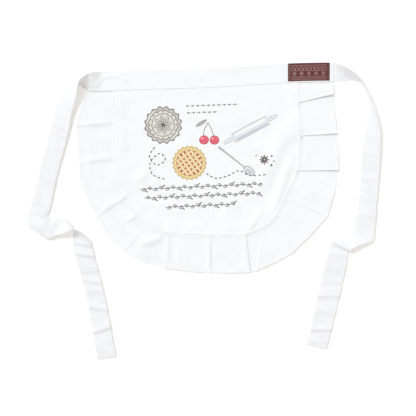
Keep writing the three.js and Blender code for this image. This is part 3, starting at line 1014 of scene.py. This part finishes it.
def band_relief(x, up):
    """What the front of the waistband rises or sinks, up being the height over its lower edge."""
    ends = smooth(BAND_LENGTH / 2 - abs(x), 9 * MM, 26 * MM)
    # The front sinks in between the panel's edge inside it and its own fold
    hollow = smooth(up, BAND_LAP, BAND_LAP + 7 * MM) * smooth(BAND_WIDTH - up, 3 * MM, 9 * MM)
    relief = -0.5 * MM * hollow * ends
    relief += 0.35 * MM * (soft_noise(x, up, 48 * MM, 2.2) - 0.5) * ends
    # The topstitched edge ripples, and its stitches sink in
    ripple = noise.noise(Vector((x / (9 * MM), up / (20 * MM), 5.5)))
    relief += 0.22 * MM * ripple * hump(up - 4 * MM, 4 * MM)
    relief -= 0.25 * MM * hump(up - BAND_INSET, 0.8 * MM)
    # The seam's allowance stands up on one side, and its other side is pressed down
    relief += 0.45 * MM * (hump(x - JOINT_X, 1.5 * MM) - 0.8 * hump(x - JOINT_X - 3 * MM, 1.2 * MM))
    place = Vector((x, up - BAND_WIDTH / 2, 0))
    for a, b in zip(DENT, DENT[1:]):
        start = Vector((a["across"] * BAND_LENGTH / 2, a["up"] * BAND_WIDTH, 0))
        run = Vector((b["across"] * BAND_LENGTH / 2, b["up"] * BAND_WIDTH, 0)) - start
        share = clamp((place - start).dot(run) / run.length_squared)
        relief = max(relief, 1.3 * MM * hump((place - start - run * share).length, 3.4 * MM))
    return relief


def band_point(x, round_the_fold):
    """The middle of the band's cloth, so far along from the back's lower edge, over the fold and down."""
    up = round_the_fold
    height = REST
    if round_the_fold > BAND_ROUND - BAND_STRAIGHT:
        up = BAND_ROUND - round_the_fold
        height = BAND_FRONT + band_relief(x, up)
    elif round_the_fold > BAND_STRAIGHT:
        angle = (round_the_fold - BAND_STRAIGHT) / BAND_FOLD
        up = BAND_STRAIGHT + BAND_FOLD * math.sin(angle)
        height = REST + BAND_FOLD * (1 - math.cos(angle))
    tip = CORNER_TURN * DEGREES * smooth(-x, BAND_LENGTH / 2 - CORNER_RUN, BAND_LENGTH / 2)
    y = band_edge(x) + CLOTH * math.sin(tip) + up * math.cos(tip)
    return Vector((x, y, height + up * math.sin(tip)))


def waistband():
    def middle(u, v):
        return band_point(mix(-BAND_LENGTH / 2, BAND_LENGTH / 2, u), v * BAND_ROUND)

    fold_start, fold_end = BAND_STRAIGHT / BAND_ROUND, 1 - BAND_STRAIGHT / BAND_ROUND
    rows = evenly(0, fold_start, 10) + evenly(fold_start, fold_end, 8)[1:] + evenly(fold_end, 1, 34)[1:]
    piece = cloth("waistband_cloth", evenly(0, 1, 230), rows, middle, lambda u, v: CLOTH)
    sewn(piece, band_cotton, "waistband")

    seam = Seam()

    def front(x, up):
        return on_face(middle, CLOTH, x / BAND_LENGTH + 0.5, 1 - up / BAND_ROUND)

    reach = BAND_LENGTH / 2 - BAND_INSET
    seam.row(lambda share: front(mix(-reach, reach, share), BAND_INSET))
    for x in (-reach, reach, JOINT_ROW):
        seam.row(lambda share, x=x: front(x, mix(BAND_INSET, BAND_WIDTH - BAND_INSET, share)), steps=200)
    stitches = seam.finish("band_stitches", white_thread, "band_cotton")


# Ties

COURSE_MARKS = 40  # between two rows of a tie's course, to measure its length
TIE_STEP = 1.6 * MM
WHIPPED = 13  # stitches over a tie's end
TIE_EDGE_ROW = TIE_INSET / TIE_WIDTH  # where its rows of stitches run along an edge, as a share of its width
TIE_CROSSING = 0.985  # where a row of stitches runs across it, as a share of its course


def tie_surface(course, creases, end):
    """Gives the function that places a tie's cloth, and shares of its course that lie even steps apart."""
    start = Vector((end * BAND_LENGTH / 2, band_middle(end * BAND_LENGTH / 2), 0))
    first, last = -1.0, len(course) - 1  # the sewn-in end and the tip, in rows of the course
    half = TIE_WIDTH / 2

    def centre(t):
        if t < 0:
            return start + Vector((end * t * TIE_INSERT, 0, 0))
        return start + Vector((along(course, "x", t) * TIE_SWING, along(course, "y", t) * TIE_DROP, 0))

    marks = evenly(first, last, (last + 1) * COURSE_MARKS)
    lengths = running_length([centre(t) for t in marks])

    def length_at(t):
        place = clamp((t - first) * COURSE_MARKS, 0, len(marks) - 1.001)
        return mix(lengths[int(place)], lengths[int(place) + 1], place - int(place))

    pressed = [(length_at(row["row"]), row) for row in creases]

    def relief(here, across):
        """Creases, and the unevenness of a strip that was turned inside out."""
        height = 1.3 * MM * soft_noise(here, across / 2, 24 * MM, 4.4 + end) ** 2
        height += 0.5 * MM * soft_noise(here, across, 9 * MM, 6.1 + end) ** 2
        for at, row in pressed:
            off = here - at - row["slant"] * MM * across / TIE_WIDTH
            spread = row["spread"] * MM
            ridge = hump(off, spread * row["fall"] if off > 0 else spread)
            height += row["rise"] * MM * (ridge + 0.35 * hump(off - 2.6 * spread, spread))
        return height

    def middle(u, v):
        t = mix(first, last, u)
        shown = max(t, 0)
        heading, roll, spread, arch = (
            along(course, column, shown) for column in ("heading", "roll", "spread", "arch")
        )
        roll *= 1 + 0.25 * min(t, 0)
        out = 2 * v - 1  # -1 at the left-hand edge, 1 at the right-hand edge
        turn, aside = roll * DEGREES, (heading - 90) * DEGREES
        across = Vector((math.cos(aside), math.sin(aside), 0)) * (math.cos(turn) * spread * half * out)
        stand = mix(1, TIE_STAND, smooth(t, 0, 2))
        lift = stand * half * (abs(math.sin(turn)) + math.sin(turn) * out)
        rest = mix(SLOT, TIE_WALL / 2 * max(abs(math.cos(turn)), 0.3), smooth(t, -0.2, 1.2))
        ease = smooth(t, 0.6, 3) * smooth(length_at(last) - length_at(t), 0, 4 * MM)
        crumple = relief(length_at(t), half * out) * abs(math.cos(turn)) * ease
        point = centre(t) + across
        point.z = lift + rest + crumple + arch * MM * math.cos(out * math.pi / 2)
        return point

    columns = []
    k = 0
    for wanted in evenly(0, lengths[-1], round(lengths[-1] / TIE_STEP)):
        while k < len(marks) - 2 and lengths[k + 1] < wanted:
            k += 1
        place = mix(marks[k], marks[k + 1], (wanted - lengths[k]) / (lengths[k + 1] - lengths[k]))
        columns.append(clamp((place - first) / (last - first)))
    return middle, columns


def tie_stitches(name, course, middle):
    """Rows along both edges and across the end, on both faces, and whipping over the end."""
    seam = Seam()
    for side in (1, -1):
        for v in (TIE_EDGE_ROW, 1 - TIE_EDGE_ROW):
            def stitched(share, side=side, v=v):
                u = mix(1.3 / len(course), 0.996, share)
                return on_face(middle, TIE_WALL * 0.7, u, v, side)
            seam.row(stitched)

        def crossing(share, side=side):
            return on_face(middle, TIE_WALL, TIE_CROSSING, mix(0.03, 0.97, share), side)
        seam.row(crossing, steps=60)
    for number in range(WHIPPED):
        v = (number + 0.5) / WHIPPED
        tip, normal = on_face(middle, 0, 1, v)
        outward = (middle(1, v) - middle(0.998, v)).normalized()
        for side in (1, -1):
            foot = tip - outward * 2.6 * MM + normal * side * TIE_WALL / 2
            seam.stitch(foot, tip + outward * 0.3 * MM, normal * side, 0.6 * MM)
    return seam.finish(name + "_stitches", white_thread, "tie_cotton")


def tie(name, course, creases, end, replaced):
    """A strip of two layers, turned and pressed, that rests on whichever of its edges is lower."""
    middle, columns = tie_surface(course, creases, end)

    def wall(u, v):
        from_edge = min(v, 1 - v)
        rounded = mix(0.35, 1, smooth(from_edge, 0, 0.02))
        return TIE_WALL * (rounded - 0.3 * hump(from_edge - TIE_EDGE_ROW, 0.018))

    near = [0, 0.006, 0.014, 0.024, 0.036, 0.047, TIE_EDGE_ROW, 0.068, 0.08, 0.1]
    rows = near + evenly(0.14, 0.86, 12) + [1 - share for share in reversed(near)]
    piece = cloth(name, columns, rows, middle, wall)
    sewn(piece, tie_cotton, replaced)
    stitches = tie_stitches(name, course, middle)


# Flat drawings in ink or thread

class Drawing:
    """Flat shapes, laid on a cloth's face as one mesh. A motif's own coordinates are in millimetres."""

    def __init__(self, face, lift, layer=0.02 * MM):
        self.face = face
        self.lift = lift
        self.layer = layer
        self.points = []
        self.faces = []
        self.inks = []
        self.at(0, 0)

    def at(self, x, y, turn=0, size=1):
        """Moves and turns what is drawn next."""
        self.frame = Matrix.Translation((x, y, 0)) @ Matrix.Rotation(turn * DEGREES, 4, "Z")
        self.frame = self.frame @ Matrix.Scale(size, 4)

    def add_grid(self, lines, ink, level, closed):
        first = len(self.points)
        wide = len(lines[0])
        for line in lines:
            for x, y in line:
                place = self.frame @ Vector((x, y, 0))
                point, normal = self.face(place.x * MM, place.y * MM)
                self.points.append(point + normal * (self.lift + level * self.layer))
        for i in range(len(lines) if closed else len(lines) - 1):
            for j in range(wide - 1):
                a, b = first + i * wide + j, first + (i + 1) % len(lines) * wide + j
                self.faces.append((a, b, b + 1, a + 1))
                self.inks.append(ink)

    def ribbon(self, points, width, ink, level=0, closed=False):
        """A stroke through points; width is a length or a function of the share along it."""
        points = [Vector(p) for p in points]
        count = len(points)
        lines = []
        for i, point in enumerate(points):
            before = points[i - 1] if i or closed else point
            after = points[(i + 1) % count] if i < count - 1 or closed else point
            aside = (after - before).normalized().orthogonal()
            wide = width(i / (count - 1)) if callable(width) else width
            parts = max(1, math.ceil(wide / 3))
            lines.append([point + aside * wide * (0.5 - k / parts) for k in range(parts + 1)])
        widest = max(len(line) for line in lines)
        lines = [
            [line[0].lerp(line[-1], k / (widest - 1)) for k in range(widest)] for line in lines
        ]
        self.add_grid(lines, ink, level, closed)

    def blob(self, outline, ink, level=0):
        """A filled shape that its middle can see all over."""
        outline = [Vector(p) for p in outline]
        centre = sum(outline, Vector((0, 0))) / len(outline)
        rings = max(2, math.ceil(max((p - centre).length for p in outline) / 3))
        lines = [[p.lerp(centre, k / rings * 0.999) for k in range(rings + 1)] for p in outline]
        self.add_grid(lines, ink, level, True)

    def finish(self, name, material, slot):
        piece = mesh_piece(name, self.points, self.faces)
        colours = piece.data.attributes.new("ink", "FLOAT_COLOR", "CORNER")
        known = {ink: hex_colour(ink) for ink in set(self.inks)}
        for face, ink in zip(piece.data.polygons, self.inks):
            face.use_smooth = True
            for corner in face.loop_indices:
                colours.data[corner].color = known[ink]
        if sum(face.normal.z for face in piece.data.polygons) < 0:
            piece.data.flip_normals()
        return sewn(piece, material)


def curve(points, steps=12):
    """A smooth line through points."""
    rows = [{"x": x, "y": y} for x, y in points]
    count = (len(points) - 1) * steps
    return [(along(rows, "x", k / steps), along(rows, "y", k / steps)) for k in range(count + 1)]


def straight(first, last, steps, y=0):
    """A line of points along X."""
    return [(x, y) for x in evenly(first, last, steps)]


def turned(points, angle):
    """Points turned about the motif's middle, by an angle in degrees."""
    cosine, sine = math.cos(angle * DEGREES), math.sin(angle * DEGREES)
    return [(cosine * x - sine * y, sine * x + cosine * y) for x, y in points]


def circle(x, y, radius, count=28, stretch=1, wave=0, waves=0):
    """A round outline, its edge waved if asked."""
    outline = []
    for k in range(count):
        angle = 2 * math.pi * k / count
        r = radius + wave * math.cos(waves * angle)
        outline.append((x + r * math.cos(angle), y + r * stretch * math.sin(angle)))
    return outline


def taper(width, ends=0.25):
    """A stroke's width, a quarter at its ends."""
    return lambda share: width * (0.25 + 0.75 * smooth(share, 0, ends) * smooth(1 - share, 0, ends))


def dashes(drawing, points, width, ink, length, gap):
    """A dashed line along a smooth curve."""
    path = [Vector(p) for p in curve(points, 60)]
    reached = running_length(path)
    here = 0
    while here + length < reached[-1]:
        dash = [p for p, at in zip(path, reached) if here <= at <= here + length]
        if len(dash) > 2:
            drawing.ribbon(dash, width, ink)
        here += length + gap


def tart_tin(drawing):
    """A fluted tin with an embossed rosette, in the greys of worn metal."""
    rims = (
        (30, 128, 1.7, "#57504a"), (28.2, 128, 1.6, "#c9c4bd"),
        (24.4, 96, 1.2, "#5f5851"), (23, 96, 1.2, "#dedad5"),
    )
    for level, (radius, count, flute, ink) in enumerate(rims):
        drawing.blob(circle(0, 0, radius, count, 1, flute, 16), ink, level)
    drawing.ribbon(circle(0, 0, 18.6, 64), 1.3, "#7d766e", 4, True)
    for k in range(16):
        drawing.ribbon(turned(straight(19.5, 28.5, 6), (k + 0.5) * 22.5), 0.8, "#8e8780", 4)
    for k in range(8):
        drawing.ribbon(turned(circle(8.6, 0, 7, 24, 0.42), k * 45), 0.9, "#625b54", 5, True)
        drawing.ribbon(turned(straight(5, 13, 6), k * 45), taper(2.2), "#a9a29a", 5)
    drawing.blob(circle(0, 0, 2.6, 20), "#4f4842", 6)
    for first, last in ((110, 160), (290, 330)):
        shine = [turned([(26.2, 0)], angle)[0] for angle in evenly(first, last, 14)]
        drawing.ribbon(shine, taper(1.5), "#fbfaf8", 5)


def rolling_pin(drawing):
    """A pale rolling pin, lying along X."""
    for end in (-1, 1):
        handle = straight(32 * end, 50 * end, 8)
        drawing.ribbon(handle, lambda s: 4.2 + 2.4 * math.sin(math.pi * s ** 0.8), "#8d9199")
        drawing.ribbon(handle, lambda s: 3 + 2.2 * math.sin(math.pi * s ** 0.8), "#e3e5e8", 1)
    body = straight(-33, 33, 24)
    drawing.ribbon(body, lambda s: 15.5 + 1.2 * math.sin(math.pi * s), "#8d9199", 1)
    drawing.ribbon(body, lambda s: 14.2 + 1.2 * math.sin(math.pi * s), "#dde0e5", 2)
    for y, width, ink in ((3.2, 4.6, "#f4f5f7"), (-5, 2.6, "#b9bec6")):
        drawing.ribbon([(x, y) for x, _ in body[1:-1]], taper(width, 0.1), ink, 3)


def pie(drawing):
    """A lattice pie seen from above: golden crust and red filling."""
    drawing.blob(circle(0, 0, 27.5, 120, 1, 1.3, 22), "#a8823a")
    drawing.blob(circle(0, 0, 26.6, 120, 1, 1.3, 22), "#e0c06c", 1)
    drawing.ribbon(circle(0, 0, 23.6, 72), 1.6, "#f0dfae", 2, True)
    drawing.blob(circle(0, 0, 21.4, 64), "#94662a", 2)
    drawing.blob(circle(0, 0, 20.6, 64), "#c73850", 3)
    for angle, level in ((35, 4), (125, 6)):
        for off in (-14, -7, 0, 7, 14):
            reach = math.sqrt(21 ** 2 - off ** 2)
            strip = turned(straight(-reach, reach, 14, off), angle)
            shine = turned(straight(-reach, reach, 14, off + 0.5), angle)
            drawing.ribbon(strip, 4.4, "#a3762f", level)
            drawing.ribbon(strip, 3.6, "#ecd193", level + 1)
            drawing.ribbon(shine, 0.9, "#f8ecc8", level + 1.5)
    for k in range(22):
        drawing.ribbon(turned(straight(22.3, 26, 4), (k + 0.5) * 360 / 22), 0.6, "#b8913f", 3)


def cherries(drawing):
    """Two cherries on one stalk."""
    for x, y in ((-6.5, -6), (6.5, -8)):
        stalk = curve(((x, y + 4), (x * 0.72, 6), (1.5, 15)), 10)
        drawing.ribbon(stalk, 0.8, "#6f5b4b", 3)
        drawing.blob(circle(x, y, 6.2, 32, 0.94), "#b3283f")
        drawing.blob(circle(x - 0.3, y + 0.3, 5.6, 32, 0.94), "#e2475f", 1)
        drawing.blob(circle(x - 2.1, y + 2.3, 1.5, 16, 0.7), "#f7b9c1", 2)
    leaf = [(p - 7 + 0.35 * q, 15.5 + q + 0.35 * p) for p, q in circle(0, 0, 7.6, 28, 0.36)]
    drawing.blob(leaf, "#8f958b", 1)
    drawing.ribbon([(p - 7, 15.5 + 0.35 * p) for p in evenly(-6.4, 7.6, 8)], taper(0.6), "#c9cdc6", 2)


def spoon(drawing):
    """A slim grey spoon, lying along X."""
    drawing.ribbon(straight(-30, 22, 20), lambda s: 2.9 - 1.1 * s, "#6f7178")
    drawing.ribbon(straight(-29, 20, 20, 0.3), lambda s: 1 - 0.3 * s, "#d8dade", 1)
    drawing.blob(circle(31, 0, 10, 36, 0.62), "#6f7178")
    drawing.blob(circle(31, 0, 8.8, 36, 0.6), "#dfe1e4", 1)
    drawing.blob(circle(32, -0.6, 6, 30, 0.52), "#c4c6cc", 2)


def star_anise(drawing):
    """A small dark star with seeds."""
    for k in range(8):
        pod = turned(straight(0.8, 6.6, 6), k * 45)
        drawing.ribbon(pod, lambda s: 0.5 + 2.2 * math.sin(math.pi * (0.15 + 0.8 * s)), "#3b3634")
        x, y = turned([(3.8, 0)], k * 45)[0]
        drawing.blob(circle(x, y, 0.8, 10), "#a58f7f", 1)
    for x, y, size in ((10, 5, 1.3), (13, -2, 1), (9.5, -7.5, 1.5), (-11, 6, 1)):
        drawing.blob(circle(x, y, size, 14), "#2f2c2e")


def garland(drawing, length, ink, seed):
    """A line of running scrolls and small leaves."""
    pace = 8.5
    for k in range(int(length / pace)):
        x = k * pace
        lean = 1 if (k + seed) % 2 else -1
        scroll = []
        for share in evenly(0, 1, 26):
            angle, reach = math.pi * (1 - 2.1 * share), 1 - 0.72 * share
            scroll.append(
                (x + 4.2 + 3.4 * reach * math.cos(angle), lean * (0.6 + 2.9 * reach * math.sin(angle)))
            )
        drawing.ribbon(scroll, taper(1.1), ink)
        stem = curve(((x - 1.4, -lean * 0.9), (x + 2, lean * 0.8), (x + 7.6, -lean * 0.2)), 8)
        drawing.ribbon(stem, taper(0.9), ink)
        if k % 3 == seed % 3:
            leaf = [(x + 8 + 0.9 * p, lean * (3.6 + 0.5 * p) + q) for p, q in circle(0, 0, 2.4, 16, 0.4)]
            drawing.blob(leaf, ink)


def fine_border(drawing, length, ink):
    """A row of little lozenges and dots."""
    for k in range(int(length / 5)):
        x = k * 5
        drawing.blob([(x - 1.5, 0), (x, -1), (x + 1.5, 0), (x, 1)], ink)
        drawing.blob(circle(x + 2.5, 0, 0.45, 8), ink)


def printed_picture():
    """A baking picture of this part's own, in the colours and at the scale of the printed one."""
    drawing = Drawing(panel_face, 0.05 * MM)
    for motif, x, y, turn, size in (
        (tart_tin, -92, -90, 12, 1.15),
        (rolling_pin, 74, -98, 28, 1.15),
        (pie, -42, -162, 0, 1.15),
        (cherries, -6, -108, 8, 1.5),
        (spoon, 42, -154, -38, 1.2),
        (star_anise, 100, -156, 0, 1.4),
    ):
        drawing.at(x, y, turn, size)
        motif(drawing)
    drawing.at(0, 0)
    for path in (
        ((-108, -132), (-118, -150), (-104, -166), (-88, -156), (-98, -144), (-116, -160), (-112, -184),
         (-84, -194)),
        ((-10, -182), (8, -191), (32, -186), (52, -177), (74, -186), (106, -184)),
    ):
        dashes(drawing, path, 1.9, "#3d2522", 5.4, 3.4)
    for x, y, length in ((-46, -54, 50), (-44, -67, 34)):
        drawing.at(x, y, 2, 2)
        fine_border(drawing, length, "#77787d")
    for number, (x, y, length) in enumerate(((-134, -212, 186), (-126, -229, 170), (-86, -246, 104))):
        drawing.at(x, y, 2.6, 1.3)
        garland(drawing, length, "#3f2a26", number)
    drawing.finish("printed_picture", print_ink, "panel_cotton")


# Woven label

def label_ornament(drawing):
    """Rings, small flowers and a chain of lozenges, in pale floating threads."""
    pale = "#b39a8c"
    half = LABEL_LENGTH / MM / 2 - 6
    drawing.ribbon(straight(-half, half, 40, 12.6), 0.5, pale)
    for x in evenly(1 - half, half - 1, 14):
        drawing.blob(circle(x, 10.2, 0.7, 8), pale)
    for k, x in enumerate(evenly(4 - half, half - 4, 8)):
        drawing.ribbon(circle(x, 5, 4.3, 24, 0.62), 0.55, pale, k % 2, True)
    for x in evenly(6 - half, half - 6, 4):
        for k in range(6):
            petal_x, petal_y = turned([(2.1, 0)], k * 60)[0]
            drawing.ribbon(circle(x + petal_x, petal_y - 3, 1.3, 10), 0.45, pale, 0, True)
    for x in evenly(2.6 - half, half - 2.6, 11):
        drawing.ribbon([(x - 2.6, -10), (x, -12.2), (x + 2.6, -10), (x, -7.8)], 0.5, pale, 0, True)
    drawing.ribbon(straight(-half, half, 40, -14), 0.5, pale)


def woven_label():
    x_low, x_high = label_low.x, label_high.x
    middle_x, middle_y = (x_low + x_high) / 2, (label_low.y + label_high.y) / 2
    shift = middle_y - band_middle(middle_x)

    def height(x, y):
        relief = band_relief(x, clamp(y - band_edge(x), 0, BAND_WIDTH))
        curl = smooth(abs(x - middle_x), LABEL_LENGTH / 2 - 3 * MM, LABEL_LENGTH / 2)
        return LABEL + 0.6 * relief + 0.15 * MM * curl

    def middle(u, v):
        x = mix(x_low, x_high, u)
        y = band_middle(x) + shift + (v - 0.5) * LABEL_HEIGHT
        return Vector((x, y, height(x, y)))

    def wall(u, v):
        from_edge = min(min(u, 1 - u) * LABEL_LENGTH, min(v, 1 - v) * LABEL_HEIGHT)
        return LABEL_WALL * mix(0.55, 1, smooth(from_edge, 0, 0.8 * MM))

    edge = [0, 0.4 * MM, 0.8 * MM, 1.4 * MM, 2 * MM]
    columns = [d / LABEL_LENGTH for d in edge]
    columns = columns + evenly(0.04, 0.96, 60) + [1 - share for share in reversed(columns)]
    rows = [d / LABEL_HEIGHT for d in edge]
    rows = rows + evenly(0.08, 0.92, 26) + [1 - share for share in reversed(rows)]
    piece = cloth("label_cloth", columns, rows, middle, wall)
    sewn(piece, maroon_damask, "woven_label")

    inset_u, inset_v = LABEL_INSET / LABEL_LENGTH, LABEL_INSET / LABEL_HEIGHT

    def on_label(u, v):
        """A place on the label's face, in shares of the rectangle that its stitches enclose."""
        return on_face(middle, LABEL_WALL, mix(inset_u, 1 - inset_u, u), mix(inset_v, 1 - inset_v, v))

    seam = Seam()
    for end in (0, 1):
        seam.row(lambda share, end=end: on_label(share, end), steps=200)
    for end in (0, 1):
        seam.row(lambda share, end=end: on_label(end, share), steps=100)
    stitches = seam.finish("label_stitches", maroon_thread, "label_weave")

    lean = math.atan2(band_middle(x_high) - band_middle(x_low), LABEL_LENGTH) / DEGREES

    def label_face(x, y):
        return Vector((x, y, height(x, y) + LABEL_WALL / 2)), Vector((0, 0, 1))

    drawing = Drawing(label_face, 0.06 * MM)
    drawing.at(middle_x / MM, middle_y / MM, lean)
    label_ornament(drawing)
    reach = LABEL_LENGTH / MM / 2
    for x, width, ink in ((3.4 - reach, 0.9, "#6f6a2c"), (reach - 2.8, 0.6, "#5e4a26")):
        drawing.ribbon([(x, y) for y in evenly(-15.6, 15.6, 16)], width, ink)
    ornament = drawing.finish("label_ornament", ornament_thread, "label_weave")


def studio_table():
    bpy.ops.object.select_all(action="DESELECT")
    bpy.ops.mesh.primitive_plane_add(size=12, location=(*PHOTO_MIDDLE, -0.05 * MM))
    floor = bpy.context.object
    floor.name = "table_top"
    floor.data.materials.append(table_top("white_table"))


camera()
studio()
studio_table()

# Painted shade: the ruffle and the ties are the same bleached cotton as the panel. The ruffle is drawn a
# notch darker and the ties darker still, standing in for the shade on the pleated and creased cloth.
panel_cotton = poplin("bleached_poplin_panel", "#f6f7fa", "#f1f2f5", 0.04)
ruffle_cotton = poplin("bleached_poplin_ruffle", "#f5f6f9", "#eff0f4", 0.04)
band_cotton = poplin("bleached_poplin_band", "#f6f7fa", "#f1f2f5", 0.04)
tie_cotton = poplin("bleached_poplin_ties", "#f2f2f6", "#e9e9ed", 0.12)
white_thread = sewing_thread("white_sewing_thread", "#f7f8fb")
maroon_thread = sewing_thread("maroon_sewing_thread", "#57161a")
print_ink = printed_ink("heat_pressed_ink")
ornament_thread = printed_ink("floating_label_thread")
maroon_damask = damask("maroon_damask", "#7a1f22", "#541113")

ruffle()
front_panel()
waistband()
tie("left_tie_cloth", LEFT_COURSE, LEFT_CREASES, -1, "tie_left")
tie("right_tie_cloth", RIGHT_COURSE, RIGHT_CREASES, 1, "tie_right")
woven_label()
printed_picture()
